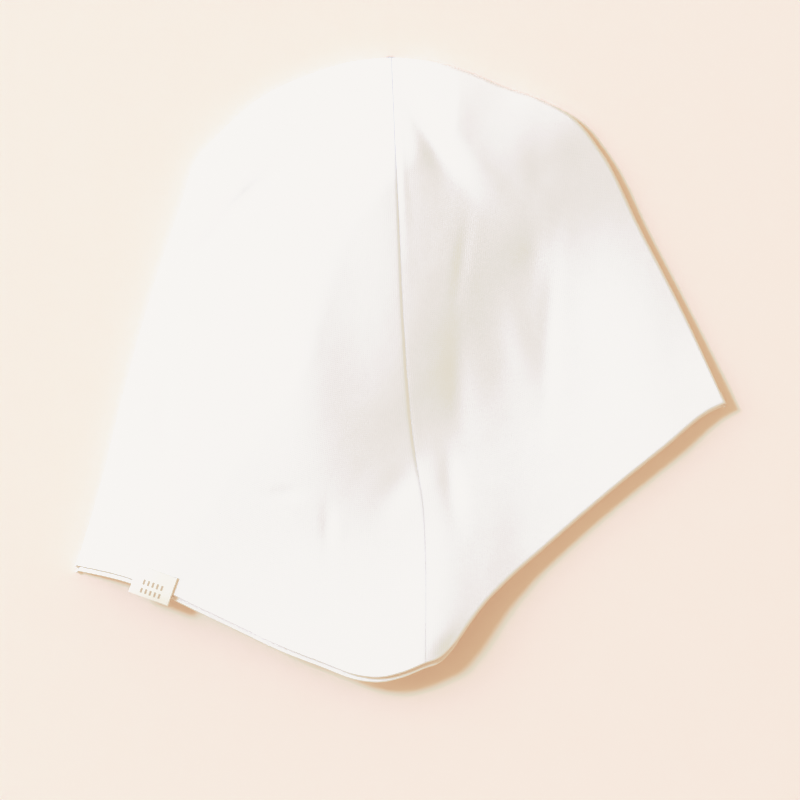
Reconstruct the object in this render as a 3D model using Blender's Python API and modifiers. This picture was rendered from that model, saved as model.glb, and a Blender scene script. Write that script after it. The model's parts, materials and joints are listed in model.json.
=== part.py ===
"""A newborn's lined cotton hat with ear flaps, lying flat on its side.

Metres, +Z up. +X points to the forehead and +Y to the crown, and the origin is at the middle of
the box's underside. The wearer's right side lies on top, and the left side is flat on the surface.
Each side is cut as a front and a back panel, which meet at the ear seam and close at the rim.
"""

from typing import NamedTuple

import bmesh
import bpy
import numpy as np

# Outline of the hat as it lies, in plan, measured from the crown
SEAM_DROP = 0.1873  # crown to the tip of the ear flap
SEAM_LEAN = 0.0105  # the tip stands this far in front of the crown
FRONT_REACH = 0.1032  # crown to the forehead corner, across
FRONT_DROP = 0.1062  # crown to the forehead corner, down
BACK_REACH = 0.0975  # crown to the nape corner, across
BACK_DROP = 0.1574  # crown to the nape corner, down
FRONT_HEM_DIP = 0.0045  # most that the front hem leaves a straight line
BACK_HEM_DIP = 0.0095  # most that the back hem leaves a straight line
LOWER_SLIP = 0.0018  # the side below shows this far past the upper hem

# Cloth
SHELL_WALL = 0.0011
LINING_WALL = 0.0010
SEAM_GAP = 0.0003
LINING_GAP = 0.0003  # between the lining and the cloth below it
LINING_SAG = 0.0005  # between the lining and the cloth above it
LINING_INSET = 0.0055  # from the hat's rim to the lining's
LINING_SHOW = 0.0016  # the lining shows this far past the upper hem
LINING_HEM_INSET = 0.0008  # from the lower hem to the lining's

# Heights
EDGE_HEIGHT = 0.0044  # both sides together, at the rim
EDGE_UPRIGHT = 0.45  # share of the rim's height that stands straight
EDGE_ROLL = 0.0015
PUFF_HEIGHT = 0.0168  # the back of the hat, where it stands highest
RISE_REACH = 3.6  # from the rim to the full height, as a multiple of the rise
LEAST_REACH = 0.0040
RISE_ROUNDNESS = 2.0

# Tag
TAG_WIDTH = 0.0130
TAG_LENGTH = 0.0090
TAG_WALL = 0.0005
TAG_PLACE = 0.785  # share of the back hem, from the ear seam
TAG_TWIST = -1.0  # degrees away from the hem's run
TAG_OVERHANG = 0.0040
TAG_DROOP = 0.0010

# How finely the cloth is divided
SHELL_ROWS = 30
LINING_ROWS = 20
UPPER_COLUMNS = 16
LOWER_COLUMNS = 12
LINING_COLUMNS = 10
ROW_CROWDING = 0.5  # 0 spaces the rows evenly, 1 crowds them at both ends
COLUMN_CROWDING = 0.8
TAG_DIVISIONS = 6
LINE_POINTS = 200
HEM_PULL = 4  # the higher, the nearer to the hem its curve ends
WELD = 1e-6

# Down as a share of the drop, across as a share of the lean or reach
EAR_SEAM = (
    (0.00, 0.00),
    (0.26, 0.20),
    (0.45, 0.36),
    (0.65, 0.67),
    (0.74, 0.92),
    (0.80, 0.98),
    (1.00, 1.00),
)
FRONT_EDGE = (
    (0.000, 0.000),
    (0.018, 0.145),
    (0.050, 0.245),
    (0.087, 0.335),
    (0.125, 0.446),
    (0.182, 0.551),
    (0.274, 0.628),
    (0.500, 0.747),
    (0.750, 0.880),
    (1.000, 1.000),
)
BACK_EDGE = (
    (0.000, 0.000),
    (0.010, 0.132),
    (0.038, 0.275),
    (0.079, 0.412),
    (0.146, 0.539),
    (0.205, 0.623),
    (0.280, 0.663),
    (0.420, 0.739),
    (0.650, 0.846),
    (0.870, 0.936),
    (1.000, 1.000),
)

# Along as a share of the way from the ear seam to the corner, down as a share of the hem's dip
FRONT_HEM = (
    (0.00, 0.00),
    (0.05, 0.50),
    (0.09, 0.40),
    (0.14, -0.20),
    (0.19, -0.70),
    (0.27, -0.98),
    (0.40, -1.00),
    (0.60, -0.93),
    (0.80, -0.66),
    (0.95, -0.42),
    (1.00, 0.00),
)
BACK_HEM = (
    (0.00, 0.00),
    (0.07, 0.54),
    (0.13, 0.87),
    (0.19, 1.00),
    (0.30, 0.90),
    (0.42, 0.75),
    (0.53, 0.50),
    (0.65, 0.23),
    (0.75, 0.00),
    (0.87, -0.09),
    (1.00, 0.00),
)


# Places across as a share of FRONT_REACH ahead of the crown. Below it, for places down as a share of
# SEAM_DROP, the height of the upper side at each of them, as a share of PUFF_HEIGHT.
ACROSS = (-0.82, -0.49, -0.21, 0.03, 0.16, 0.28, 0.40, 0.54, 0.81)
HEIGHTS = (
    (0.05, (0.77, 0.92, 0.92, 0.88, 0.84, 0.80, 0.69, 0.54, 0.42)),
    (0.20, (0.83, 0.97, 0.99, 0.93, 0.82, 0.72, 0.63, 0.51, 0.40)),
    (0.35, (0.83, 0.98, 0.97, 0.90, 0.77, 0.61, 0.46, 0.37, 0.37)),
    (0.50, (0.80, 0.92, 0.92, 0.83, 0.67, 0.51, 0.39, 0.34, 0.36)),
    (0.65, (0.68, 0.77, 0.78, 0.65, 0.53, 0.45, 0.39, 0.36, 0.36)),
    (0.80, (0.55, 0.60, 0.61, 0.57, 0.55, 0.48, 0.39, 0.35, 0.36)),
    (0.98, (0.47, 0.48, 0.55, 0.59, 0.58, 0.46, 0.36, 0.34, 0.35)),
)


class Dent(NamedTuple):
    """A soft hollow or swelling of the upper side, on top of the table of its heights."""

    across: float  # share of FRONT_REACH
    down: float  # share of SEAM_DROP
    half_long: float  # share of SEAM_DROP
    half_wide: float  # share of FRONT_REACH
    lean: float  # degrees from straight down, lower end towards the forehead
    rise: float  # share of PUFF_HEIGHT


DENTS = (
    Dent(0.11, 0.13, 0.10, 0.06, 25, -0.06),  # crease in front of the crown
    Dent(0.02, 0.66, 0.06, 0.14, 65, -0.03),  # lower end of the bowl behind the ear seam
)


class Half(NamedTuple):
    """The front or back half of a side, between the ear seam and the rim."""

    edge: tuple
    drop: float
    reach: float
    hem: tuple
    dip: float


FRONT = Half(FRONT_EDGE, FRONT_DROP, FRONT_REACH, FRONT_HEM, FRONT_HEM_DIP)
BACK = Half(BACK_EDGE, BACK_DROP, -BACK_REACH, BACK_HEM, BACK_HEM_DIP)


def rounded(shares, at, values):
    """Smooth values at the shares, on a cubic through the values at some of them."""
    at, values = np.asarray(at), np.asarray(values)
    if values.ndim == 1:
        values = values.reshape(-1, *[1] * shares.ndim)
    values = np.broadcast_to(values, (len(at), *shares.shape))
    slopes = np.gradient(values, at, axis=0)
    shares = np.clip(shares, at[0], at[-1])
    place = np.clip(np.searchsorted(at, shares, side="right") - 1, 0, len(at) - 2)
    span = at[place + 1] - at[place]
    u = (shares - at[place]) / span
    value, slope, next_value, next_slope = (
        np.take_along_axis(table, (place + step)[None], axis=0)[0]
        for step in (0, 1)
        for table in (values, slopes)
    )
    leaving = (1 + 2 * u) * value + u * span * slope
    arriving = (3 - 2 * u) * next_value - (1 - u) * span * next_slope
    return (1 - u) ** 2 * leaving + u**2 * arriving


def shares_of(line):
    """Each point's share of the line's length."""
    lengths = np.linalg.norm(np.diff(line, axis=0), axis=1)
    return np.concatenate([[0], np.cumsum(lengths)]) / lengths.sum()


def smooth_line(points):
    """A fine line of points on a smooth curve through the given ones."""
    at = shares_of(points)
    shares = np.linspace(0, 1, LINE_POINTS)
    return np.column_stack([rounded(shares, at, axis) for axis in points.T])


def along(line, shares):
    """Points at shares of the line's length."""
    at = shares_of(line)
    return np.column_stack([np.interp(shares, at, axis) for axis in line.T])


def crowded(count, crowding):
    """Shares from 0 to 1, closer together towards both ends."""
    even = np.linspace(0, 1, count + 1)
    return (1 - crowding) * even + crowding * (1 - np.cos(np.pi * even)) / 2


def side_line(rows, drop, reach):
    """A line in plan that runs down from the crown, from a table of its rows."""
    down, across = np.array(rows).T
    return smooth_line(np.column_stack([across * reach, -down * drop]))


def inset(line, distance):
    """A line that runs down from the crown, moved sideways towards the hat's middle."""
    ahead = np.gradient(line, axis=0)
    ahead /= np.linalg.norm(ahead, axis=1)[:, None]
    sideways = np.column_stack([ahead[:, 1], -ahead[:, 0]])
    return line + np.sign(line[-1, 0]) * distance * sideways


def hem_line(corner, half, slip):
    """The hem in plan, from the ear flap's tip to a corner of the rim."""
    tip = np.array([SEAM_LEAN, -SEAM_DROP])
    share = np.linspace(0, 1, LINE_POINTS)
    line = tip + share[:, None] * (corner - tip)
    line[:, 1] -= rounded(share, *np.transpose(half.hem)) * half.dip + slip
    return line


def plan(half, rows, columns, slip=0.0, rim_inset=0.0):
    """Plan points of a half, in rows from the crown to the hem and columns from the ear seam out."""
    down = crowded(rows, ROW_CROWDING)
    out = crowded(columns, COLUMN_CROWDING)[:, None]
    seam = side_line(EAR_SEAM, SEAM_DROP, SEAM_LEAN)
    edge = side_line(half.edge, half.drop, half.reach)
    hem = hem_line(edge[-1], half, slip)
    hem_share = 1 - rim_inset / np.linalg.norm(hem[-1] - hem[0])
    seam[:, 1] -= rim_inset * (1 - shares_of(seam))
    edge = inset(edge, rim_inset)
    edge[0] = seam[0]
    seam_points = along(seam, down)[:, None]
    edge_points = along(edge, down)[:, None]
    straight = (1 - out) * seam_points + out * edge_points
    bend = along(hem, out[:, 0] * hem_share) - straight[-1]
    return straight + down[:, None, None] ** HEM_PULL * bend


def rim_of(front, back):
    """The rim in plan, from the forehead corner over the crown to the nape corner."""
    return np.concatenate([front[::-1, -1], back[1:, -1]])


def distance_to(rim, points):
    """Plan distance of each point from the rim."""
    start, step = rim[:-1], np.diff(rim, axis=0)
    offset = points[..., None, :] - start
    share = np.clip((offset * step).sum(axis=-1) / (step**2).sum(axis=-1), 0, 1)
    return np.linalg.norm(offset - share[..., None] * step, axis=-1).min(axis=-1)


UPPER_RIM = rim_of(plan(FRONT, SHELL_ROWS, 1), plan(BACK, SHELL_ROWS, 1))
LOWER_RIM = rim_of(
    plan(FRONT, SHELL_ROWS, 1, LOWER_SLIP), plan(BACK, SHELL_ROWS, 1, LOWER_SLIP)
)
OUTLINE = np.concatenate(
    [plan(half, SHELL_ROWS, UPPER_COLUMNS, LOWER_SLIP).reshape(-1, 2) for half in (FRONT, BACK)]
)
CENTRE = (OUTLINE.min(axis=0) + OUTLINE.max(axis=0)) / 2


def dented(points):
    """What the dents add to the height at each plan point."""
    total = np.zeros(points.shape[:-1])
    for dent in DENTS:
        offset = points - [dent.across * FRONT_REACH, -dent.down * SEAM_DROP]
        turn = np.radians(dent.lean)
        lengthwise = offset @ [np.sin(turn), -np.cos(turn)] / (dent.half_long * SEAM_DROP)
        crosswise = offset @ [np.cos(turn), np.sin(turn)] / (dent.half_wide * FRONT_REACH)
        total += dent.rise * PUFF_HEIGHT * np.exp(-(lengthwise**2) - crosswise**2)
    return total


def top_height(points):
    """Height of the upper side's outer face above the surface that the hat lies on."""
    down, rows = zip(*HEIGHTS)
    across = points[..., 0] / FRONT_REACH
    shares = np.stack([rounded(across, ACROSS, row) for row in rows])
    full = PUFF_HEIGHT * rounded(-points[..., 1] / SEAM_DROP, down, shares) + dented(points)
    reach = np.maximum(RISE_REACH * (full - EDGE_HEIGHT), LEAST_REACH)
    inward = np.clip(distance_to(UPPER_RIM, points) / reach, 0, 1)
    return EDGE_HEIGHT + (full - EDGE_HEIGHT) * (1 - (1 - inward) ** RISE_ROUNDNESS)


def bulge(distance, radius, upright=0.0):
    """How far the rim's rounding has opened at a distance from it, from the upright share to 1."""
    remaining = 1 - np.clip(distance / radius, 0, 1)
    return upright + (1 - upright) * np.sqrt(1 - remaining**2)


def faces_inwards(bm):
    """Whether the faces above the rim look down and those below it look up."""
    middle = EDGE_HEIGHT / 2
    facing = (
        face.normal.z * face.calc_area() * (face.calc_center_median().z - middle)
        for face in bm.faces
    )
    return sum(facing) < 0


def new_object(name, points, wall, material):
    """A cloth piece: a grid moved to rows and columns of points, thickened towards its inner side."""
    rows, columns = points.shape[:2]
    bm = bmesh.new()
    bmesh.ops.create_grid(bm, x_segments=columns - 1, y_segments=rows - 1, size=0.5)
    placed = points - [*CENTRE, 0]
    for vertex, place in zip(bm.verts, placed.reshape(-1, 3)):
        vertex.co = place
    bmesh.ops.remove_doubles(bm, verts=bm.verts, dist=WELD)
    bm.normal_update()
    if faces_inwards(bm):
        bmesh.ops.reverse_faces(bm, faces=bm.faces)
    mesh = bpy.data.meshes.new(name)
    bm.to_mesh(mesh)
    bm.free()
    mesh.materials.append(material)
    mesh.shade_smooth()
    cloth = bpy.data.objects.new(name, mesh)
    thicken = cloth.modifiers.new("cloth", "SOLIDIFY")
    thicken.thickness = wall
    thicken.offset = -1
    return cloth


def new_material(name, colour, roughness, sheen):
    material = bpy.data.materials.new(name)
    material.use_nodes = True
    shader = material.node_tree.nodes["Principled BSDF"]
    shader.inputs["Base Color"].default_value = (*colour, 1)
    shader.inputs["Roughness"].default_value = roughness
    shader.inputs["Sheen Weight"].default_value = sheen
    return material


def panel(name, half, upper, material):
    """A shell panel. Its rim stands upright and ends half a seam gap from the other side's."""
    columns = UPPER_COLUMNS if upper else LOWER_COLUMNS
    points = plan(half, SHELL_ROWS, columns, 0.0 if upper else LOWER_SLIP)
    rim = UPPER_RIM if upper else LOWER_RIM
    direction = 1 if upper else -1
    middle = top_height(points) / 2
    height = middle * (1 + direction * bulge(distance_to(rim, points), EDGE_ROLL, EDGE_UPRIGHT))
    seam_height = (EDGE_HEIGHT + direction * SEAM_GAP) / 2
    height = np.column_stack([height, np.full(len(height), seam_height)])
    points = np.concatenate([points, points[:, -1:]], axis=1)
    points = points + [np.sign(half.reach) * SEAM_GAP / 2, 0]
    return new_object(name, np.dstack([points, height]), SHELL_WALL, material)


def lining(material):
    """The inner pouch: one sheet that goes round from the upper side to the lower and back."""
    layers = {}
    for half in (FRONT, BACK):
        for upper in (True, False):
            slip = LINING_SHOW if upper else LOWER_SLIP - LINING_HEM_INSET
            layers[half, upper] = plan(half, LINING_ROWS, LINING_COLUMNS, slip, LINING_INSET)
    rim = rim_of(layers[FRONT, True], layers[BACK, True])
    for (half, upper), points in layers.items():
        floor = SHELL_WALL + LINING_GAP
        roof = top_height(points) - SHELL_WALL - LINING_SAG
        middle, reach = (roof + floor) / 2, (roof - floor) / 2
        opened = bulge(distance_to(rim, points), reach.min())
        layers[half, upper] = np.dstack([points, middle + (1 if upper else -1) * reach * opened])
    for half in (FRONT, BACK):
        layers[half, False][:, -1] = layers[half, True][:, -1]
    around = np.concatenate(
        [
            layers[FRONT, True][:, :-1],
            layers[FRONT, False][:, :0:-1],
            layers[BACK, False][:, :-1],
            layers[BACK, True][:, ::-1],
        ],
        axis=1,
    )
    return new_object("lining", around, LINING_WALL, material)


def size_tag(material):
    """A small woven tag, sewn on near the nape. It lies on the cloth and hangs past the hem."""
    edge = side_line(BACK.edge, BACK.drop, BACK.reach)
    hem = hem_line(edge[-1], BACK, 0.0)
    half_share = TAG_WIDTH / 2 / np.linalg.norm(hem[-1] - hem[0])
    before, middle, after = along(hem, TAG_PLACE + half_share * np.array([-1, 0, 1]))
    run = (before - after) / np.linalg.norm(before - after)
    turn = np.radians(-TAG_TWIST)
    rotation = np.array([[np.cos(turn), -np.sin(turn)], [np.sin(turn), np.cos(turn)]])
    across = rotation @ run
    down = np.array([across[1], -across[0]])
    shares = np.linspace(0, 1, TAG_DIVISIONS + 1)
    width = (shares[None, :, None] - 0.5) * TAG_WIDTH
    length = TAG_OVERHANG - shares[::-1, None, None] * TAG_LENGTH
    points = middle + width * across + length * down
    hanging = np.clip(length[..., 0] / TAG_OVERHANG, 0, 1) ** 2
    height = top_height(points) + SEAM_GAP + TAG_WALL - TAG_DROOP * hanging
    return new_object("size_tag", np.dstack([points, height]), TAG_WALL, material)


def main():
    for item in list(bpy.data.objects):
        bpy.data.objects.remove(item)
    hat = bpy.data.collections.new("newborn_hat")
    bpy.context.scene.collection.children.link(hat)
    shell_cotton = new_material("shell_cotton", (0.85, 0.84, 0.82), 0.92, 0.2)
    lining_cotton = new_material("lining_cotton", (0.84, 0.825, 0.795), 0.94, 0.2)
    woven_tag = new_material("woven_tag", (0.84, 0.82, 0.76), 0.75, 0.1)
    pieces = (
        panel("right_front_panel", FRONT, True, shell_cotton),
        panel("right_back_panel", BACK, True, shell_cotton),
        panel("left_front_panel", FRONT, False, shell_cotton),
        panel("left_back_panel", BACK, False, shell_cotton),
        lining(lining_cotton),
        size_tag(woven_tag),
    )
    for piece in pieces:
        hat.objects.link(piece)


main()
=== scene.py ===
"""The looks of a newborn's lined cotton hat, which lies flat on its side on a pale surface.

Metres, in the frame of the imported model: +Z up, +X towards the forehead and +Y towards the crown.
Each cloth piece follows the plan and the heights of the solid that it replaces, with the finer
shape of the real cloth: a thin rim, rolled hems, grooves along the seams, small folds and the knit.
"""

import json
from typing import NamedTuple

import bmesh
import bpy
import numpy as np
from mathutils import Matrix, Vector, noise


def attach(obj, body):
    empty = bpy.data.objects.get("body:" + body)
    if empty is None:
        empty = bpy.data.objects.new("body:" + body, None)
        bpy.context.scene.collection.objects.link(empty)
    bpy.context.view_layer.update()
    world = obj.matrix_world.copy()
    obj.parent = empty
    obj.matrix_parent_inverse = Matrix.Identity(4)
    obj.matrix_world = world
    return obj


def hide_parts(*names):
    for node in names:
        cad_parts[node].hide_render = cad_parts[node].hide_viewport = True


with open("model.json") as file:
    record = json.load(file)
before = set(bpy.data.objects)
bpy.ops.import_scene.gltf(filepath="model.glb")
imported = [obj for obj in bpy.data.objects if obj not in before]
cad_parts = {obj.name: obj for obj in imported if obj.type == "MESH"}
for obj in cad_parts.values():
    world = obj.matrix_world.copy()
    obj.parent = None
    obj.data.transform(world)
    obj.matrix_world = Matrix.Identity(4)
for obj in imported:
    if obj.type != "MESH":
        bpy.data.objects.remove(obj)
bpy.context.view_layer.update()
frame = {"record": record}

# Outline of the hat as it lies, in plan, measured from the crown
SEAM_DROP = 0.1873  # crown to the tip of the ear flap
SEAM_LEAN = 0.0105  # the tip stands this far in front of the crown
FRONT_REACH = 0.1032  # crown to the forehead corner, across
FRONT_DROP = 0.1062  # crown to the forehead corner, down
BACK_REACH = 0.0975  # crown to the nape corner, across
BACK_DROP = 0.1574  # crown to the nape corner, down
FRONT_HEM_DIP = 0.0045  # most that the front hem leaves a straight line
BACK_HEM_DIP = 0.0095  # most that the back hem leaves a straight line
LOWER_SLIP = 0.0018  # the side below shows this far past the upper hem

# Heights
EDGE_HEIGHT = 0.0024  # both sides together, at the rim of the back
FRONT_EDGE_HEIGHT = 0.0036  # and at the rim of the front
EDGE_UPRIGHT = 0.10  # share of the rim's height that stands straight
EDGE_ROLL = 0.0024  # how far in from the rim its rounding goes, at the back
FRONT_EDGE_ROLL = 0.0010  # and at the front
PUFF_HEIGHT = 0.0168  # the back of the hat, where it stands highest
RISE_REACH = 4.2  # from the rim to the full height at the back, as a multiple of the rise
FRONT_RISE_REACH = 2.2  # and at the front
LEAST_REACH = 0.0030  # from the rim to the full height at the back, at least
FRONT_LEAST_REACH = 0.026  # and at the front
CORNER_RISE = 0.0014  # the rim stands this much higher at the forehead corner
CORNER_SPREAD = 0.020
CROWN_BLEND = 0.30  # share of FRONT_REACH on both sides of the crown where back passes into front
RISE_ROUNDNESS = 2.0  # the higher, the steeper the rise is next to the rim
HEM_PULL = 4  # the higher, the nearer to the hem its curve ends

# Cloth
SKIN_WALL = 0.00040  # one layer of the shell's cloth, without its nap
HEM_ROLL = 0.00040  # radius of the turned hem at the back
FRONT_HEM_ROLL = 0.00085  # and at the front
FRONT_HEM_OUT = 0.0011  # the upper hem stands this far out at the front
HEM_FACING = 0.0030  # how far the turned cloth runs in below the hem
HEM_FACING_ROWS = (0.3, 0.6, 1.0)  # shares of it at which it is divided
SEAM_ROLL = 0.0011  # how far from the ear seam the groove along it begins
FRONT_SEAM_DEPTH = 0.3  # depth of the groove's front side, as a share of its back side's
SEAM_TUCK = 0.0003  # how far the cloth turns straight down in the groove
SEAM_OPENING = 0.00002  # between two panels at a seam
RIM_TUCK = 0.0005  # depth of the groove along the rim
LINING_WALL = 0.0005
LINING_GAP = 0.0008  # from the shell's outer face to the lining's, below
LINING_SAG = 0.0014  # and above
LINING_INSET = 0.0004  # from the hat's rim to the lining's
LINING_SHOW = 0.0016  # the lining shows this far past the upper hem at the back
FRONT_SHOW = 0.0013  # and this far at the front
FRONT_START = 0.05  # share of the front hem, next to the tip, that is like the back's
FRONT_FADE = 0.12  # share over which one passes into the other
LINING_HEM_INSET = 0.0008  # from the lower hem to the lining's
LINING_RISE = 0.0060  # over this way it comes up to the hem

# Tag
TAG_WIDTH = 0.0130
TAG_LENGTH = 0.0090
TAG_PLACE = 0.785  # share of the back hem, from the ear seam
TAG_RUN = 0.04  # share of the hem on both sides of the tag that gives its run
TAG_TWIST = -1.0  # degrees away from the hem's run
TAG_OVERHANG = 0.0040  # past the hem
TAG_DROOP = 0.0010
TAG_FOLD = 0.00018  # radius of the fold at the tag's free end
TAG_LIFT = 0.00005  # above the cloth

# How finely the cloth is divided
HEM_POINTS = 400
ROWS = 150
COLUMNS = 84
ROLL_STEPS = 6
ROLL_SHARE = 0.3  # most of a row's width that the roll at one of its ends takes up
LINING_ROWS = 90
LINING_COLUMNS = 50
TAG_ROWS = 30
TAG_COLUMNS = 40
TAG_FOLD_STEPS = 8
RIM_STEP = 4  # the rim takes every so many of the points of its two halves
ROW_CROWDING = 0.5  # 0 spaces the rows evenly, 1 crowds them at both ends
COLUMN_CROWDING = 0.4
LINING_CROWDING = 0.8
WELD = 1e-6  # points nearer than this are one
TINY = 1e-9

# Look of the cloth
WALE = 0.00075  # width of a stitch
COURSE = 0.00062  # and its height
KNIT_DEPTH = 0.00003
KNIT_SHARE = 0.6  # of the relief, the rest is nap
KNIT_ROUGHNESS = 0.92
ROUGHNESS_SPREAD = 0.08
NAP_SIZE = 0.00025
FINE_DETAIL = 3.0  # sizes of specks in the nap, the threads and the paper
PATCH_DETAIL = 2.0  # and in soft patches
SHELL_SHEEN = 0.2
LINING_SHEEN = 0.15
SHEEN_ROUGHNESS = 0.5
PATCH_SIZE = 0.012
PATCH_SHARE = 0.6  # of the tint comes from soft patches
GROOVE_SHADE_SHARE = 0.5  # and this much from the relief, as painted shade in the knit's grooves
# darkest of the cloth's own soft patches and of the painted shade in the knit's grooves
PATCH_AND_GROOVE_SHADE_DARKEST = (0.985, 0.983, 0.978)
SEAM_SHADE_REACH = 0.0011  # painted shade along the ear seam's groove reaches this far from the seam
SEAM_SHADE_FADE = 0.220  # and grows fainter down the seam, to nothing at this far from the crown
# darkest colour of the painted shade along the ear seam, as a share of the cloth's colour
SEAM_SHADE_DARKEST = (0.80, 0.80, 0.81)
RIB = 0.0003
RIB_DEPTH = 0.00002
RIB_SHARE = 0.25  # half of what one of the two waves of ribs adds to the relief
RIBBON_ROUGHNESS = 0.7
RIBBON_SHEEN = 0.1
BARS = 5
BAR_PITCH = 0.00145
BAR_WIDTH = 0.00050
BAR_HEIGHT = 0.0015
BAR_ROWS = (0.0046, 0.0073)  # down from the tag's sewn end
BAR_DARKNESS = (0.42, 0.40, 0.37)
BAR_COVER = 1.2  # how fully the darker thread covers the ribbon, at most
BAR_FRAY = 0.4  # how much of that varies
GRAIN_SIZE = 0.0006  # of the floor's paper
GRAIN_DEPTH = 0.00001
FLOOR_ROUGHNESS = 0.9
FLOOR_SPECULAR = 0.1
FLOOR_DARKEST = (0.995, 0.992, 0.988)

# Picture
VIEW_WIDTH = 0.248  # width of the surface that the picture shows
VIEW_CENTRE = (-0.0002, -0.0094)
LENS = 0.200
SENSOR = 0.036
MILLIMETRES = 1000  # in a metre

# Stage
FLOOR_SIZE = 12.0
FLOOR_DROP = 0.0001  # below the surface that the hat lies on
FLOOR_COLOUR = (0.855, 0.768, 0.708)
FILL_COLOUR = (0.64, 0.558, 0.452)
HORIZON_COLOUR = (1.05, 0.95, 0.88)
HORIZON_RISE = 0.35  # sine of the angle above the surface where the fill's own colour begins
KEY_COLOUR = (0.48, 0.535, 0.65)  # light that the main lamp gives the surface
SOFT_COLOUR = (0.157, 0.157, 0.147)  # and that the wide lamp does
KEY_SIZE = 2.3
SOFT_SIZE = 9.0
KEY_ELEVATION = 43  # degrees
SOFT_ELEVATION = 33
LAMP_DISTANCE = 12.0
LIGHT_TRAVEL = (0.90, -0.435)  # which way the light goes, seen from above

# Light in the picture and how bright it shows, for red, green and blue
BRIGHTEST = 2.0
RED_TONE = (
    (0.25, 0.340),
    (0.49, 0.650),
    (0.70, 0.735),
    (0.80, 0.748),
    (0.90, 0.768),
    (0.96, 0.828),
    (1.02, 0.895),
    (1.06, 0.920),
    (1.15, 0.929),
    (1.30, 0.931),
    (1.60, 0.940),
)
GREEN_TONE = (
    (0.25, 0.262),
    (0.39, 0.425),
    (0.61, 0.600),
    (0.75, 0.675),
    (0.81, 0.700),
    (0.87, 0.736),
    (0.94, 0.814),
    (0.99, 0.882),
    (1.03, 0.903),
    (1.12, 0.909),
    (1.30, 0.914),
    (1.60, 0.920),
)
BLUE_TONE = (
    (0.28, 0.250),
    (0.39, 0.340),
    (0.60, 0.505),
    (0.70, 0.552),
    (0.79, 0.622),
    (0.84, 0.698),
    (0.88, 0.754),
    (0.92, 0.820),
    (0.96, 0.863),
    (1.00, 0.881),
    (1.05, 0.885),
    (1.15, 0.887),
    (1.30, 0.890),
    (1.60, 0.900),
)

# Down as a share of the drop, across as a share of the lean or reach
EAR_SEAM = (
    (0.00, 0.00),
    (0.26, 0.20),
    (0.45, 0.36),
    (0.65, 0.67),
    (0.74, 0.92),
    (0.80, 0.98),
    (1.00, 1.00),
)
FRONT_EDGE = (
    (0.000, 0.000),
    (0.018, 0.145),
    (0.050, 0.245),
    (0.087, 0.335),
    (0.125, 0.446),
    (0.182, 0.551),
    (0.274, 0.628),
    (0.500, 0.747),
    (0.750, 0.880),
    (1.000, 1.000),
)
BACK_EDGE = (
    (0.000, 0.000),
    (0.010, 0.132),
    (0.038, 0.275),
    (0.079, 0.412),
    (0.146, 0.539),
    (0.205, 0.623),
    (0.280, 0.663),
    (0.420, 0.739),
    (0.650, 0.846),
    (0.870, 0.936),
    (1.000, 1.000),
)

# Along as a share of the way from the ear seam to the corner, down as a share of the hem's dip
FRONT_HEM = (
    (0.00, 0.00),
    (0.05, 0.50),
    (0.09, 0.40),
    (0.14, -0.20),
    (0.19, -0.70),
    (0.27, -0.98),
    (0.40, -1.00),
    (0.60, -0.93),
    (0.80, -0.66),
    (0.95, -0.42),
    (1.00, 0.00),
)
BACK_HEM = (
    (0.00, 0.00),
    (0.07, 0.54),
    (0.13, 0.87),
    (0.19, 1.00),
    (0.30, 0.90),
    (0.42, 0.75),
    (0.53, 0.50),
    (0.65, 0.23),
    (0.75, 0.00),
    (0.87, -0.09),
    (1.00, 0.00),
)

# Down as a share of the ear seam, depth of the groove along it as a share of SEAM_ROLL
SEAM_GROOVE = (
    (0.00, 0.07),
    (0.18, 0.09),
    (0.34, 0.12),
    (0.67, 0.12),
    (0.73, 0.03),
    (1.00, 0.01),
)

# Places across as a share of FRONT_REACH ahead of the crown. Below it, for places down as a share of
# SEAM_DROP, the height of the upper side at each of them, as a share of PUFF_HEIGHT.
ACROSS = (-0.82, -0.49, -0.21, 0.03, 0.16, 0.28, 0.40, 0.54, 0.81)
HEIGHTS = (
    (0.05, (0.77, 0.92, 0.92, 0.88, 0.84, 0.80, 0.69, 0.54, 0.42)),
    (0.20, (0.83, 0.97, 0.99, 0.93, 0.82, 0.72, 0.63, 0.51, 0.40)),
    (0.35, (0.83, 0.98, 0.97, 0.90, 0.77, 0.61, 0.46, 0.37, 0.37)),
    (0.50, (0.80, 0.92, 0.92, 0.83, 0.67, 0.51, 0.39, 0.34, 0.36)),
    (0.65, (0.68, 0.77, 0.78, 0.65, 0.53, 0.45, 0.39, 0.36, 0.36)),
    (0.80, (0.55, 0.60, 0.61, 0.57, 0.55, 0.48, 0.39, 0.35, 0.36)),
    (0.98, (0.47, 0.48, 0.55, 0.59, 0.58, 0.46, 0.36, 0.34, 0.35)),
)


class Dent(NamedTuple):
    """A soft hollow or swelling of the upper side, on top of the table of its heights."""

    across: float  # share of FRONT_REACH
    down: float  # share of SEAM_DROP
    half_long: float  # share of SEAM_DROP
    half_wide: float  # share of FRONT_REACH
    lean: float  # degrees from straight down, lower end towards the forehead
    rise: float  # share of PUFF_HEIGHT


# In the solids too
DENTS = (
    Dent(0.11, 0.13, 0.10, 0.06, 25, -0.06),  # crease in front of the crown
    Dent(0.02, 0.66, 0.06, 0.14, 65, -0.03),  # lower end of the bowl behind the ear seam
)

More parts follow.
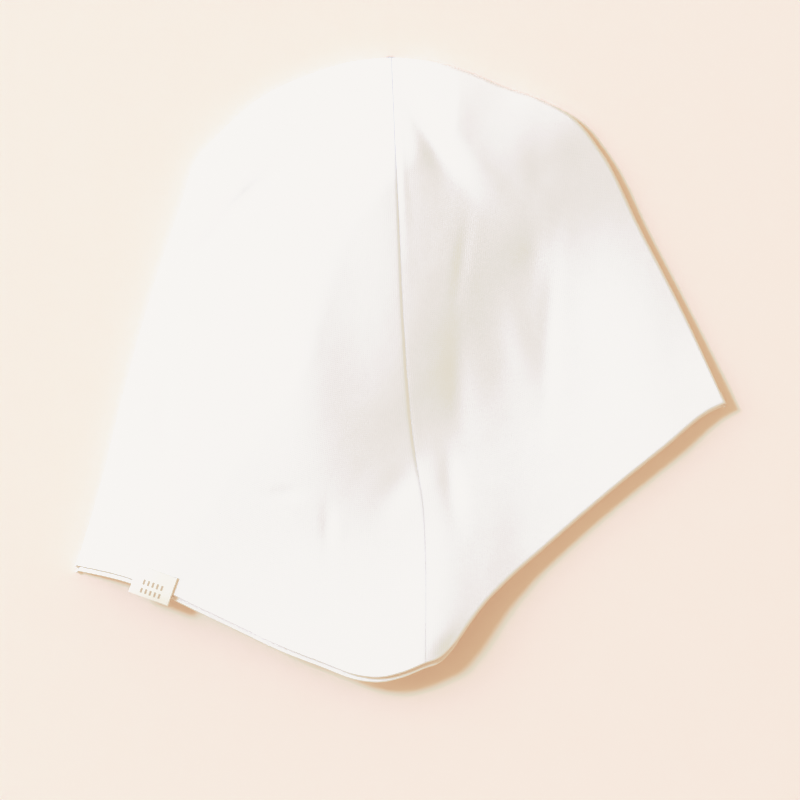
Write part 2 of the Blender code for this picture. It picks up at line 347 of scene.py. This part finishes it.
# Only in the cloth
FOLDS = (
    Dent(0.000, 0.100, 0.130, 0.030, 3, -0.014),  # along the ear seam
    Dent(0.026, 0.150, 0.140, 0.013, 4, 0.011),
    Dent(-0.265, 0.455, 0.170, 0.130, 6, 0.084),  # edge of the bowl behind the ear seam
    Dent(0.086, 0.104, 0.085, 0.034, 25, -0.056),  # crease in front of the crown
    Dent(0.190, 0.195, 0.060, 0.028, 36, -0.020),
    Dent(0.270, 0.190, 0.070, 0.034, 38, 0.018),
    Dent(0.440, 0.185, 0.036, 0.045, 10, -0.020),  # hollows high up in the front
    Dent(0.430, 0.330, 0.040, 0.040, 5, -0.020),
    Dent(0.212, 0.335, 0.066, 0.020, -8, -0.012),  # long hollow in front of the ear seam
    Dent(0.200, 0.540, 0.085, 0.042, 2, -0.030),
    Dent(0.385, 0.475, 0.075, 0.042, 10, 0.024),  # swelling in its middle
    Dent(0.472, 0.450, 0.120, 0.026, -3, -0.016),
    Dent(0.180, 0.710, 0.060, 0.030, 8, -0.028),
    Dent(0.030, 0.705, 0.055, 0.045, -35, -0.024),  # lower edge of the bowl
    Dent(0.175, 0.985, 0.040, 0.040, -37, -0.065),  # curl of the ear flap's tip
    Dent(-0.430, 0.235, 0.075, 0.030, -47, -0.125),  # small folds of the back
    Dent(-0.540, 0.302, 0.026, 0.020, -50, -0.080),
    Dent(-0.370, 0.465, 0.036, 0.024, 60, -0.070),
    Dent(-0.315, 0.720, 0.026, 0.018, 88, -0.024),
    Dent(-0.190, 0.776, 0.034, 0.018, 2, -0.018),
    Dent(-0.680, 0.590, 0.060, 0.030, 3, -0.085),
)

UNEVENNESS = 0.00006  # how far the cloth strays from smooth
UNEVEN_SPREAD = 0.014  # size of one of its soft bumps
UNEVEN_LAYERS = 3  # sizes of bumps, each UNEVEN_RATIO times as small as the one before
UNEVEN_RATIO = 2.0
UNEVEN_FALL = 1.0  # how fast the smaller ones grow lower


class Half(NamedTuple):
    """The front or back half of a side, between the ear seam and the rim."""

    edge: tuple
    drop: float
    reach: float
    hem: tuple
    dip: float


FRONT = Half(FRONT_EDGE, FRONT_DROP, FRONT_REACH, FRONT_HEM, FRONT_HEM_DIP)
BACK = Half(BACK_EDGE, BACK_DROP, -BACK_REACH, BACK_HEM, BACK_HEM_DIP)


# Lines and plans, as in the solids


def rounded(shares, at, values):
    """Smooth values at the shares, on a cubic through the values at some of them."""
    at, values = np.asarray(at), np.asarray(values)
    if values.ndim == 1:
        values = values.reshape(-1, *[1] * shares.ndim)
    values = np.broadcast_to(values, (len(at), *shares.shape))
    slopes = np.gradient(values, at, axis=0)
    shares = np.clip(shares, at[0], at[-1])
    place = np.clip(np.searchsorted(at, shares, side="right") - 1, 0, len(at) - 2)
    span = at[place + 1] - at[place]
    u = (shares - at[place]) / span
    value, slope, next_value, next_slope = (
        np.take_along_axis(table, (place + step)[None], axis=0)[0]
        for step in (0, 1)
        for table in (values, slopes)
    )
    leaving = (1 + 2 * u) * value + u * span * slope
    arriving = (3 - 2 * u) * next_value - (1 - u) * span * next_slope
    return (1 - u) ** 2 * leaving + u**2 * arriving


def shares_of(line):
    """Each point's share of the line's length."""
    lengths = np.linalg.norm(np.diff(line, axis=0), axis=1)
    return np.concatenate([[0], np.cumsum(lengths)]) / lengths.sum()


def smooth_line(points):
    """A fine line of points on a smooth curve through the given ones."""
    at = shares_of(points)
    shares = np.linspace(0, 1, HEM_POINTS)
    return np.column_stack([rounded(shares, at, axis) for axis in points.T])


def along(line, shares):
    """Points at shares of the line's length."""
    at = shares_of(line)
    return np.stack([np.interp(shares, at, axis) for axis in line.T], axis=-1)


def crowded(count, crowding):
    """Shares from 0 to 1, closer together towards both ends."""
    even = np.linspace(0, 1, count + 1)
    return (1 - crowding) * even + crowding * (1 - np.cos(np.pi * even)) / 2


def eased(share):
    """A share that starts and ends softly, held between 0 and 1."""
    share = np.clip(share, 0, 1)
    return share**2 * (3 - 2 * share)


def side_line(rows, drop, reach):
    """A line in plan that runs down from the crown, from a table of its rows."""
    down, across = np.array(rows).T
    return smooth_line(np.column_stack([across * reach, -down * drop]))


def inset(line, distance):
    """A line that runs down from the crown, moved sideways towards the hat's middle."""
    ahead = np.gradient(line, axis=0)
    ahead /= np.linalg.norm(ahead, axis=1)[:, None]
    sideways = np.column_stack([ahead[:, 1], -ahead[:, 0]])
    return line + np.sign(line[-1, 0]) * distance * sideways


def ear_seam():
    """The ear seam in plan, from the crown to the ear flap's tip."""
    return side_line(EAR_SEAM, SEAM_DROP, SEAM_LEAN)


def edge_of(half):
    """A half's rim in plan, from the crown to its corner."""
    return side_line(half.edge, half.drop, half.reach)


def hem_line(corner, half, slip):
    """The hem in plan, from the ear flap's tip to a corner of the rim."""
    tip = np.array([SEAM_LEAN, -SEAM_DROP])
    share = np.linspace(0, 1, HEM_POINTS)
    line = tip + share[:, None] * (corner - tip)
    line[:, 1] -= rounded(share, *np.transpose(half.hem)) * half.dip + slip
    return line


def from_tip(half, back, front):
    """A length along a half's hem from the tip: the back's, which turns into the front's in front."""
    share = eased((np.linspace(0, 1, HEM_POINTS) - FRONT_START) / FRONT_FADE)
    return back + (front - back) * share * (half is FRONT)


def along_hem(lengths, shares):
    """A length along the hem, at shares of the way from the tip."""
    return np.interp(shares, np.linspace(0, 1, HEM_POINTS), lengths)


def plan(half, down, out, slip=0.0, rim_inset=0.0):
    """Plan points of a half, at shares of the way down and, for each row, of the way out."""
    seam, edge = ear_seam(), edge_of(half)
    hem = hem_line(edge[-1], half, slip)
    hem_share = 1 - rim_inset / np.linalg.norm(hem[-1] - hem[0])
    seam[:, 1] -= rim_inset * (1 - shares_of(seam))
    edge = inset(edge, rim_inset)
    edge[0] = seam[0]
    beside = out[..., None]
    straight = (1 - beside) * along(seam, down)[:, None] + beside * along(edge, down)[:, None]
    bend = along(hem, out * hem_share) - (1 - beside) * seam[-1] - beside * edge[-1]
    return straight + down[:, None, None] ** HEM_PULL * bend


def distance_to(line, points):
    """Plan distance of each point from a line."""
    start, step = line[:-1], np.diff(line, axis=0)
    nearest = np.full(points.shape[:-1], np.inf)
    for begin, move in zip(start, step):
        offset = points - begin
        share = np.clip(offset @ move / (move @ move), 0, 1)
        nearest = np.minimum(nearest, np.linalg.norm(offset - share[..., None] * move, axis=-1))
    return nearest


def rim(slip=0.0):
    """The rim in plan, from the forehead corner over the crown to the nape corner."""
    front, back = edge_of(FRONT)[::-RIM_STEP], edge_of(BACK)[::RIM_STEP]
    line = np.concatenate([front, back[1:]])
    down = np.minimum(-line[:, 1] / np.where(line[:, 0] > 0, FRONT_DROP, BACK_DROP), 1)
    line[:, 1] -= slip * down**HEM_PULL
    return line


SEAM_LINE = ear_seam()
UPPER_RIM = rim()
LOWER_RIM = rim(LOWER_SLIP)
LOWER_HEM = np.concatenate([hem_line(edge_of(half)[-1], half, LOWER_SLIP) for half in (FRONT, BACK)])
OUTLINE = np.concatenate([LOWER_RIM, LOWER_HEM])
CENTRE = (OUTLINE.min(axis=0) + OUTLINE.max(axis=0)) / 2


# Heights


def dented(points, dents):
    """What the dents add to the height at each plan point."""
    total = np.zeros(points.shape[:-1])
    for dent in dents:
        offset = points - [dent.across * FRONT_REACH, -dent.down * SEAM_DROP]
        turn = np.radians(dent.lean)
        lengthwise = offset @ [np.sin(turn), -np.cos(turn)] / (dent.half_long * SEAM_DROP)
        crosswise = offset @ [np.cos(turn), np.sin(turn)] / (dent.half_wide * FRONT_REACH)
        total += dent.rise * PUFF_HEIGHT * np.exp(-(lengthwise**2) - crosswise**2)
    return total


def from_back_to_front(points, back, front):
    """A value for each plan point that passes from the back's to the front's beside the crown."""
    return back + (front - back) * eased(0.5 + points[..., 0] / (2 * FRONT_REACH * CROWN_BLEND))


def edge_height(points):
    """Height of the rim, both sides together, beside each plan point."""
    from_corner = np.linalg.norm(points - [FRONT_REACH, -FRONT_DROP], axis=-1)
    lift = CORNER_RISE * np.exp(-((from_corner / CORNER_SPREAD) ** 2))
    return from_back_to_front(points, EDGE_HEIGHT, FRONT_EDGE_HEIGHT) + lift


def top_height(points):
    """Height of the upper side's outer face above the surface that the hat lies on."""
    down, rows = zip(*HEIGHTS)
    across = points[..., 0] / FRONT_REACH
    shares = np.stack([rounded(across, ACROSS, row) for row in rows])
    full = PUFF_HEIGHT * rounded(-points[..., 1] / SEAM_DROP, down, shares) + dented(points, DENTS)
    edge = edge_height(points)
    reach = from_back_to_front(points, RISE_REACH, FRONT_RISE_REACH) * (full - edge)
    reach = np.maximum(reach, from_back_to_front(points, LEAST_REACH, FRONT_LEAST_REACH))
    from_rim = distance_to(UPPER_RIM, points)
    inward = np.clip(from_rim / reach, 0, 1)
    smooth = edge + (full - edge) * (1 - (1 - inward) ** RISE_ROUNDNESS)
    return smooth + (dented(points, FOLDS) + uneven(points)) * bulge(from_rim, UNEVEN_SPREAD)


def uneven(points):
    """Small soft bumps, as soft cloth has where it lies unironed."""
    places = points.reshape(-1, 2) / UNEVEN_SPREAD
    shape = UNEVEN_FALL, UNEVEN_RATIO, UNEVEN_LAYERS
    bumps = [noise.fractal(Vector((*place, 0)), *shape) for place in places]
    return UNEVENNESS * np.reshape(bumps, points.shape[:-1])


def bulge(distance, radius, upright=0.0):
    """How far the rim's rounding has opened at a distance from it, from the upright share to 1."""
    remaining = 1 - np.clip(distance / radius, 0, 1)
    return upright + (1 - upright) * np.sqrt(1 - remaining**2)


def face_height(points, side):
    """Height of a side's outer face: side is 1 for the upper side and -1 for the lower."""
    line = UPPER_RIM if side > 0 else LOWER_RIM
    roll = from_back_to_front(points, EDGE_ROLL, FRONT_EDGE_ROLL)
    opened = bulge(distance_to(line, points), roll, EDGE_UPRIGHT)
    return top_height(points) / 2 * (1 + side * opened)


def roll_drop(distance, radius):
    """How far a rolled edge has dropped at a distance from it."""
    return radius * (1 - bulge(distance, radius))


def groove_depth(distance, down, half):
    """How deep the groove along the ear seam is, at a distance from it and a share of the way down."""
    deepest = SEAM_ROLL * rounded(down, *np.transpose(SEAM_GROOVE))
    if half is FRONT:
        deepest = deepest * FRONT_SEAM_DEPTH
    return deepest * (1 - np.clip(distance / SEAM_ROLL, 0, 1)) ** 2


# Cloth pieces


def roll_steps(radius):
    """Distances from an edge that divide its quarter-round roll evenly, from the edge inwards."""
    return radius * (1 - np.cos(np.linspace(0, np.pi / 2, ROLL_STEPS + 1)))


def panel_shares(half):
    """Shares down and out at which a panel is divided, finest on its rolled edges."""
    body = crowded(ROWS, ROW_CROWDING) * (1 - FRONT_HEM_ROLL / SEAM_DROP)
    down = np.concatenate([body, 1 - roll_steps(FRONT_HEM_ROLL)[-2::-1] / SEAM_DROP])
    width = np.linalg.norm(along(edge_of(half), down) - along(SEAM_LINE, down), axis=1)
    width = np.maximum(width, WELD)[:, None]
    most = np.linspace(0, ROLL_SHARE, ROLL_STEPS + 1)
    near_seam = np.minimum(roll_steps(SEAM_ROLL) / width, most)
    near_rim = np.minimum(roll_steps(EDGE_HEIGHT / 2) / width, most)
    free = 1 - near_rim[:, -1:] - near_seam[:, -1:]
    middle = near_seam[:, -1:] + free * crowded(COLUMNS, COLUMN_CROWDING)[1:-1]
    return down, np.concatenate([near_seam, middle, 1 - near_rim[:, ::-1]], axis=1)


def inward_from(edge, inner):
    """Unit plan vectors square to an edge's points, towards the inner points beside them."""
    ahead = np.gradient(edge, axis=0)
    sideways = np.column_stack([-ahead[:, 1], ahead[:, 0]])
    sideways *= np.sign(((inner - edge) * sideways).sum(axis=1))[:, None]
    return sideways / np.maximum(np.linalg.norm(sideways, axis=1), TINY)[:, None]


def with_turned_hem(points, radius, side):
    """Adds to a panel's plan the rows that turn under the hem, with the height of every point."""
    hem = points[-1]
    inward = inward_from(hem, points[-ROLL_STEPS])
    height = face_height(points, side) - side * roll_drop(distance_to(hem, points), radius)
    turn = np.linspace(0, np.pi / 2, ROLL_STEPS + 1)[1:]
    steps = [(radius * (1 - np.cos(angle)), radius * (1 + np.sin(angle))) for angle in turn]
    steps += [(radius + share * HEM_FACING, 2 * radius) for share in HEM_FACING_ROWS]
    for distance, drop in steps:
        row = hem + distance[:, None] * inward
        points = np.concatenate([points, row[None]])
        height = np.concatenate([height, (face_height(row, side) - side * drop)[None]])
    return np.dstack([points, height])


def with_tucked_edges(points, side):
    """Adds to a panel the columns that turn in at the ear seam and at the rim's seam."""
    start, end = points[:, 0], points[:, -1]
    deeper = start - [0, 0, side * SEAM_TUCK]
    inward = inward_from(end[:, :2], points[:, -ROLL_STEPS, :2])
    seam_height = (edge_height(end[:, :2]) + side * SEAM_OPENING) / 2
    tucked = []
    for turn in np.linspace(0, np.pi / 2, ROLL_STEPS + 1)[1:]:
        place = end[:, :2] + RIM_TUCK * (1 - np.cos(turn)) * inward
        height = end[:, 2] + (seam_height - end[:, 2]) * np.sin(turn)
        tucked.append(np.column_stack([place, height]))
    return np.stack([deeper, *points.transpose(1, 0, 2), *tucked], axis=1)


def unrolled(points):
    """Flat cloth coordinates of a grid of points: the way along each row and down each column."""
    across = np.linalg.norm(np.diff(points, axis=1), axis=2).cumsum(axis=1)
    down = np.linalg.norm(np.diff(points, axis=0), axis=2).cumsum(axis=0)
    across = np.pad(across, ((0, 0), (1, 0)))
    down = np.pad(down, ((1, 0), (0, 0)))
    return np.dstack([across, down])


def faces_inwards(bm):
    """Whether the faces above the rim look down and those below it look up."""
    middle = EDGE_HEIGHT / 2
    facing = (
        face.normal.z * face.calc_area() * (face.calc_center_median().z - middle)
        for face in bm.faces
    )
    return sum(facing) < 0


def new_cloth(name, points, wall, material):
    """A grid of points as cloth with flat cloth coordinates, thickened towards its inner side."""
    rows, columns = points.shape[:2]
    bm = bmesh.new()
    bmesh.ops.create_grid(bm, x_segments=columns - 1, y_segments=rows - 1, size=1)
    flat = unrolled(points).reshape(-1, 2)
    for vertex, place in zip(bm.verts, (points - [*CENTRE, 0]).reshape(-1, 3)):
        vertex.co = place
    cloth_map = bm.loops.layers.uv.new("cloth")
    for face in bm.faces:
        for loop in face.loops:
            loop[cloth_map].uv = flat[loop.vert.index]
    bmesh.ops.remove_doubles(bm, verts=bm.verts, dist=WELD)
    bm.normal_update()
    if faces_inwards(bm):
        bmesh.ops.reverse_faces(bm, faces=bm.faces)
    mesh = bpy.data.meshes.new(name)
    bm.to_mesh(mesh)
    bm.free()
    mesh.materials.append(material)
    mesh.shade_smooth()
    cloth = bpy.data.objects.new(name, mesh)
    bpy.context.scene.collection.objects.link(cloth)
    thicken = cloth.modifiers.new("cloth", "SOLIDIFY")
    thicken.thickness = wall
    thicken.offset = -1
    return cloth


def declare(cloth, nodes):
    """Hides the solids that the cloth piece replaces and hangs it on the root body."""
    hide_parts(*nodes)
    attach(cloth, "root")


def panel(node, half, side, material):
    """One of the shell's four panels, from the ear seam to the rim and from the crown to the hem."""
    down, out = panel_shares(half)
    slip = from_tip(half, 0.0, FRONT_HEM_OUT) if side > 0 else LOWER_SLIP
    flat = plan(half, down, out, slip)
    drop = groove_depth(distance_to(SEAM_LINE, flat), down[:, None], half)
    radius = along_hem(from_tip(half, HEM_ROLL, FRONT_HEM_ROLL), out[-1])
    points = with_turned_hem(flat, radius, side)
    points[: len(drop), :, 2] -= side * drop
    points = with_tucked_edges(points, side)
    points[..., 0] += np.sign(half.reach) * SEAM_OPENING / 2
    cloth = new_cloth(f"{node}_cloth", points, SKIN_WALL, material)
    declare(cloth, [node])


def lining(material):
    """The inner pouch: one sheet that goes round from the upper side to the lower and back."""
    body = crowded(LINING_ROWS, ROW_CROWDING) * (1 - HEM_ROLL / SEAM_DROP)
    down = np.concatenate([body, 1 - roll_steps(HEM_ROLL)[-2::-1] / SEAM_DROP])
    row = crowded(LINING_COLUMNS, LINING_CROWDING)
    out = np.broadcast_to(row, (len(down), len(row)))
    layers = {}
    for half in (FRONT, BACK):
        for side in (1, -1):
            show = from_tip(half, LINING_SHOW, FRONT_SHOW)
            slip = show if side > 0 else LOWER_SLIP - LINING_HEM_INSET
            layers[half, side] = plan(half, down, out, slip, LINING_INSET)
    edge = np.concatenate([layers[FRONT, 1][::-1, -1], layers[BACK, 1][1:, -1]])
    for (half, side), points in layers.items():
        hem = points[-1]
        near_hem = np.exp(-((distance_to(hem, points) / LINING_RISE) ** 2))
        roll = along_hem(from_tip(half, HEM_ROLL, FRONT_HEM_ROLL), out[-1])
        roof = top_height(points) - LINING_SAG - 2 * (roll - HEM_ROLL) * near_hem
        middle, reach = (roof + LINING_GAP) / 2, (roof - LINING_GAP) / 2
        opened = bulge(distance_to(edge, points), reach.min())
        height = middle + side * reach * opened
        height -= side * roll_drop(distance_to(hem, points), HEM_ROLL)
        layers[half, side] = np.dstack([points, height])
    for half in (FRONT, BACK):
        layers[half, -1][:, -1] = layers[half, 1][:, -1]
    points = np.concatenate(
        [
            layers[FRONT, 1][:, :-1],
            layers[FRONT, -1][:, :0:-1],
            layers[BACK, -1][:, :-1],
            layers[BACK, 1][:, ::-1],
        ],
        axis=1,
    )
    cloth = new_cloth("lining_cloth", points, LINING_WALL, material)
    declare(cloth, ["lining"])


def size_tag(material):
    """A small woven tag, sewn on near the nape. It is folded at its free end, past the hem."""
    hem = hem_line(edge_of(BACK)[-1], BACK, 0.0)
    before, middle, after = along(hem, TAG_PLACE + TAG_RUN * np.array([-1, 0, 1]))
    run = (before - after) / np.linalg.norm(before - after)
    turn = np.radians(-TAG_TWIST)
    rotation = np.array([[np.cos(turn), -np.sin(turn)], [np.sin(turn), np.cos(turn)]])
    across = rotation @ run
    down = np.array([across[1], -across[0]])
    width = np.linspace(-0.5, 0.5, TAG_COLUMNS + 1)[None, :, None] * TAG_WIDTH
    length = np.linspace(TAG_OVERHANG - TAG_LENGTH, TAG_OVERHANG, TAG_ROWS + 1)[:, None, None]
    points = middle + width * across + length * down
    hanging = np.clip(length[..., 0] / TAG_OVERHANG, 0, 1) ** 2
    height = top_height(points) + 2 * TAG_FOLD + TAG_LIFT - TAG_DROOP * hanging
    front = np.dstack([points, height])
    fold = []
    for angle in np.linspace(0, np.pi, TAG_FOLD_STEPS + 1)[1:-1]:
        ahead = np.append(down, 0) * TAG_FOLD * np.sin(angle)
        fold.append(front[-1] + ahead - [0, 0, TAG_FOLD * (1 - np.cos(angle))])
    back = front[::-1] - [0, 0, 2 * TAG_FOLD]
    points = np.concatenate([front, fold, back])
    cloth = new_cloth("size_tag_cloth", points, TAG_FOLD, material)
    declare(cloth, ["size_tag"])


# Materials


def value_of(nodes, links, kind, inputs=(), output=0, **settings):
    """Adds a node, with values or other nodes' outputs for its inputs, and gives its output."""
    node = nodes.new(kind)
    for name, setting in settings.items():
        setattr(node, name, setting)
    for place, value in enumerate(inputs):
        if isinstance(value, bpy.types.NodeSocket):
            links.new(value, node.inputs[place])
        elif value is not None:
            node.inputs[place].default_value = value
    return node.outputs[output]


def new_material(name, colour, roughness):
    """A plain Principled material, and functions that add sums and noise to its nodes."""
    material = bpy.data.materials.new(name)
    material.use_nodes = True
    nodes, links = material.node_tree.nodes, material.node_tree.links
    shader = nodes["Principled BSDF"]
    shader.inputs["Base Color"].default_value = (*colour, 1)
    shader.inputs["Roughness"].default_value = roughness

    def sum_of(operation, *values):
        return value_of(nodes, links, "ShaderNodeMath", values, operation=operation)

    def noise_of(places, size, detail=PATCH_DETAIL):
        return value_of(nodes, links, "ShaderNodeTexNoise", (places, None, 1 / size, detail))

    return material, shader, sum_of, noise_of


def cloth_places(material):
    """Where a point lies on the flat cloth, in metres: as a vector, across and down."""
    nodes, links = material.node_tree.nodes, material.node_tree.links
    flat = value_of(nodes, links, "ShaderNodeUVMap", uv_map="cloth")
    apart = value_of(nodes, links, "ShaderNodeSeparateXYZ", (flat,)).node
    return flat, apart.outputs["X"], apart.outputs["Y"]


def mixed(nodes, links, share, first, second):
    """A colour from the first, where the share is 0, to the second, which may be a node's output."""
    mix = nodes.new("ShaderNodeMix")
    mix.data_type = "RGBA"
    links.new(share, mix.inputs["Factor"])
    mix.inputs["A"].default_value = (*first, 1)
    if isinstance(second, bpy.types.NodeSocket):
        links.new(second, mix.inputs["B"])
    else:
        mix.inputs["B"].default_value = (*second, 1)
    return mix.outputs["Result"]


def darkened(colour, darkest):
    """The colour with each of its parts times that part of darkest."""
    return tuple(part * dark for part, dark in zip(colour, darkest))


def tint(material, shader, share, dark, light):
    """Colours the material, from dark where the share is 0 to light, and gives that colour."""
    nodes, links = material.node_tree.nodes, material.node_tree.links
    colour = mixed(nodes, links, share, dark, light)
    links.new(colour, shader.inputs["Base Color"])
    return colour


def roughen(material, shader, height, depth):
    """Raises the surface in the light by the height, which goes from 0 to 1, times the depth."""
    nodes, links = material.node_tree.nodes, material.node_tree.links
    bump = nodes.new("ShaderNodeBump")
    bump.inputs["Strength"].default_value = 1.0
    bump.inputs["Distance"].default_value = depth
    links.new(height, bump.inputs["Height"])
    links.new(bump.outputs["Normal"], shader.inputs["Normal"])


def unshaded_by_seam(sum_of, across, down):
    """Share left out of the painted shade along the ear seam's groove: 0 at its crown end, 1 away from
    it.
    """
    from_seam = sum_of("DIVIDE", sum_of("SUBTRACT", across, SEAM_TUCK), SEAM_SHADE_REACH)
    shade_near_seam = sum_of("SUBTRACT", 1.0, sum_of("MINIMUM", sum_of("MAXIMUM", from_seam, 0.0), 1.0))
    fading = sum_of("SUBTRACT", 1.0, sum_of("DIVIDE", down, SEAM_SHADE_FADE))
    squared = sum_of("MULTIPLY", shade_near_seam, shade_near_seam)
    return sum_of("SUBTRACT", 1.0, sum_of("MULTIPLY", squared, fading))


def knit_material(slot, colour, sheen):
    """Brushed interlock cotton: rows of V-shaped stitches under a fine nap."""
    material, shader, sum_of, noise_of = new_material(slot, colour, KNIT_ROUGHNESS)
    flat, across, down = cloth_places(material)
    wale = sum_of("FRACT", sum_of("DIVIDE", across, WALE))
    beside = sum_of("ABSOLUTE", sum_of("SUBTRACT", wale, 0.5))
    phase = sum_of("MULTIPLY", sum_of("ADD", sum_of("DIVIDE", down, COURSE), beside), 2 * np.pi)
    stitch = sum_of("MULTIPLY_ADD", sum_of("SINE", phase), 0.5, 0.5)
    edgewise = sum_of("MULTIPLY", beside, 2.0)
    rounding = sum_of("SUBTRACT", 1.0, sum_of("MULTIPLY", edgewise, edgewise))
    knit = sum_of("MULTIPLY", sum_of("MULTIPLY", stitch, rounding), KNIT_SHARE)
    nap = noise_of(flat, NAP_SIZE, FINE_DETAIL)
    height = sum_of("ADD", knit, sum_of("MULTIPLY", nap, 1 - KNIT_SHARE))
    roughen(material, shader, height, KNIT_DEPTH)
    # painted shade: the knit's grooves are tinted darker than its raised stitches
    shade_in_grooves = sum_of("MULTIPLY", height, GROOVE_SHADE_SHARE)
    share = sum_of("MULTIPLY_ADD", noise_of(flat, PATCH_SIZE), PATCH_SHARE, shade_in_grooves)
    patched_and_shaded = tint(material, shader, share, darkened(colour, PATCH_AND_GROOVE_SHADE_DARKEST), colour)
    # painted shade in the groove along the ear seam
    free = unshaded_by_seam(sum_of, across, down)
    tint(material, shader, free, darkened(colour, SEAM_SHADE_DARKEST), patched_and_shaded)
    spread = sum_of("MULTIPLY_ADD", nap, ROUGHNESS_SPREAD, KNIT_ROUGHNESS - ROUGHNESS_SPREAD / 2)
    material.node_tree.links.new(spread, shader.inputs["Roughness"])
    shader.inputs["Sheen Weight"].default_value = sheen
    shader.inputs["Sheen Roughness"].default_value = SHEEN_ROUGHNESS
    return material


def ribbon_material(slot, colour):
    """Fine ribbon, woven in ribs, with two rows of plain bars in a darker thread."""
    material, shader, sum_of, noise_of = new_material(slot, colour, RIBBON_ROUGHNESS)
    flat, across, down = cloth_places(material)

    def wave(place, size):
        turns = sum_of("SINE", sum_of("MULTIPLY", place, 2 * np.pi / size))
        return sum_of("MULTIPLY_ADD", turns, RIB_SHARE, RIB_SHARE)

    weave = sum_of("ADD", wave(across, RIB), wave(down, RIB))
    roughen(material, shader, weave, RIB_DEPTH)

    def within(place, middle, reach):
        return sum_of("LESS_THAN", sum_of("ABSOLUTE", sum_of("SUBTRACT", place, middle)), reach)

    rows = sum_of("ADD", *(within(down, middle, BAR_HEIGHT / 2) for middle in BAR_ROWS))
    row_reach = BARS * BAR_PITCH / 2
    row = within(across, TAG_WIDTH / 2, row_reach)
    from_start = sum_of("SUBTRACT", across, TAG_WIDTH / 2 - row_reach)
    step = sum_of("FRACT", sum_of("DIVIDE", from_start, BAR_PITCH))
    bar = within(step, 0.5, BAR_WIDTH / BAR_PITCH / 2)
    bars = sum_of("MULTIPLY", sum_of("MULTIPLY", rows, row), bar)
    threads = sum_of("MULTIPLY_ADD", noise_of(flat, RIB, FINE_DETAIL), -BAR_FRAY, BAR_COVER)
    bare = sum_of("SUBTRACT", 1.0, sum_of("MULTIPLY", bars, threads))
    tint(material, shader, bare, darkened(colour, BAR_DARKNESS), colour)
    shader.inputs["Sheen Weight"].default_value = RIBBON_SHEEN
    return material


def floor_material():
    """Smooth pale paper with a faint grain."""
    material, shader, _, noise_of = new_material("floor", FLOOR_COLOUR, FLOOR_ROUGHNESS)
    nodes, links = material.node_tree.nodes, material.node_tree.links
    places = value_of(nodes, links, "ShaderNodeTexCoord", output="Object")
    roughen(material, shader, noise_of(places, GRAIN_SIZE, FINE_DETAIL), GRAIN_DEPTH)
    dark = darkened(FLOOR_COLOUR, FLOOR_DARKEST)
    tint(material, shader, noise_of(places, PATCH_SIZE), dark, FLOOR_COLOUR)
    shader.inputs["Specular IOR Level"].default_value = FLOOR_SPECULAR
    return material


# Stage


def add_floor():
    """The pale surface that the hat lies on."""
    bpy.ops.mesh.primitive_plane_add(size=FLOOR_SIZE, location=(0, 0, -FLOOR_DROP))
    floor = bpy.context.object
    floor.name = "floor"
    floor.data.materials.append(floor_material())


def add_lamp(name, colour, size, elevation):
    """A round lamp under which a white surface at the hat's middle is as bright as the colour."""
    rise = np.radians(elevation)
    strongest = max(colour)
    lamp = bpy.data.lights.new(name, "AREA")
    lamp.shape = "DISK"
    lamp.size = size
    lamp.color = [share / strongest for share in colour]
    lamp.energy = strongest * np.pi**2 * LAMP_DISTANCE**2 / np.sin(rise)
    travel = Vector((*(np.cos(rise) * np.array(LIGHT_TRAVEL)), -np.sin(rise)))
    holder = bpy.data.objects.new(name, lamp)
    holder.location = Vector((*VIEW_CENTRE, 0)) - LAMP_DISTANCE * travel
    holder.rotation_euler = travel.to_track_quat("-Z", "Y").to_euler()
    bpy.context.scene.collection.objects.link(holder)


def add_light():
    """A fill from all round, paler near the horizon, and two lamps from the same side."""
    world = bpy.data.worlds.new("fill")
    world.use_nodes = True
    nodes, links = world.node_tree.nodes, world.node_tree.links
    outwards = value_of(nodes, links, "ShaderNodeTexCoord")
    height = value_of(nodes, links, "ShaderNodeSeparateXYZ", (outwards,), output="Z")
    rise = (height, HORIZON_RISE)
    share = value_of(nodes, links, "ShaderNodeMath", rise, operation="DIVIDE", use_clamp=True)
    colour = mixed(nodes, links, share, HORIZON_COLOUR, FILL_COLOUR)
    links.new(colour, nodes["Background"].inputs["Color"])
    bpy.context.scene.world = world
    add_lamp("key", KEY_COLOUR, KEY_SIZE, KEY_ELEVATION)
    add_lamp("softbox", SOFT_COLOUR, SOFT_SIZE, SOFT_ELEVATION)


def add_camera():
    """A camera straight above the hat."""
    data = bpy.data.cameras.new("camera")
    data.lens = LENS * MILLIMETRES
    data.sensor_width = SENSOR * MILLIMETRES
    camera = bpy.data.objects.new("camera", data)
    camera.location = (*VIEW_CENTRE, VIEW_WIDTH * LENS / SENSOR)
    bpy.context.scene.collection.objects.link(camera)
    bpy.context.scene.camera = camera


def set_tone():
    """A plain view of the light, with the brightest tones eased towards white as a camera does."""
    settings = bpy.context.scene.view_settings
    settings.view_transform = "Standard"
    settings.use_curve_mapping = True
    tone = settings.curve_mapping
    tone.white_level = (BRIGHTEST,) * 3
    for curve, table in zip(tone.curves, (RED_TONE, GREEN_TONE, BLUE_TONE)):
        for light, shown in table:
            curve.points.new(light / BRIGHTEST, shown)
    tone.update()


def main():
    """Lays the cloth pieces from below upwards, then sets the stage."""
    colours = {slot["slot"]: slot["base_color"] for slot in frame["record"]["materials"]}
    shell = knit_material("shell_cotton", colours["shell_cotton"], SHELL_SHEEN)
    inner = knit_material("lining_cotton", colours["lining_cotton"], LINING_SHEEN)
    woven = ribbon_material("woven_tag", colours["woven_tag"])
    panel("left_front_panel", FRONT, -1, shell)
    panel("left_back_panel", BACK, -1, shell)
    lining(inner)
    panel("right_front_panel", FRONT, 1, shell)
    panel("right_back_panel", BACK, 1, shell)
    size_tag(woven)
    add_floor()
    add_light()
    add_camera()
    set_tone()


main()
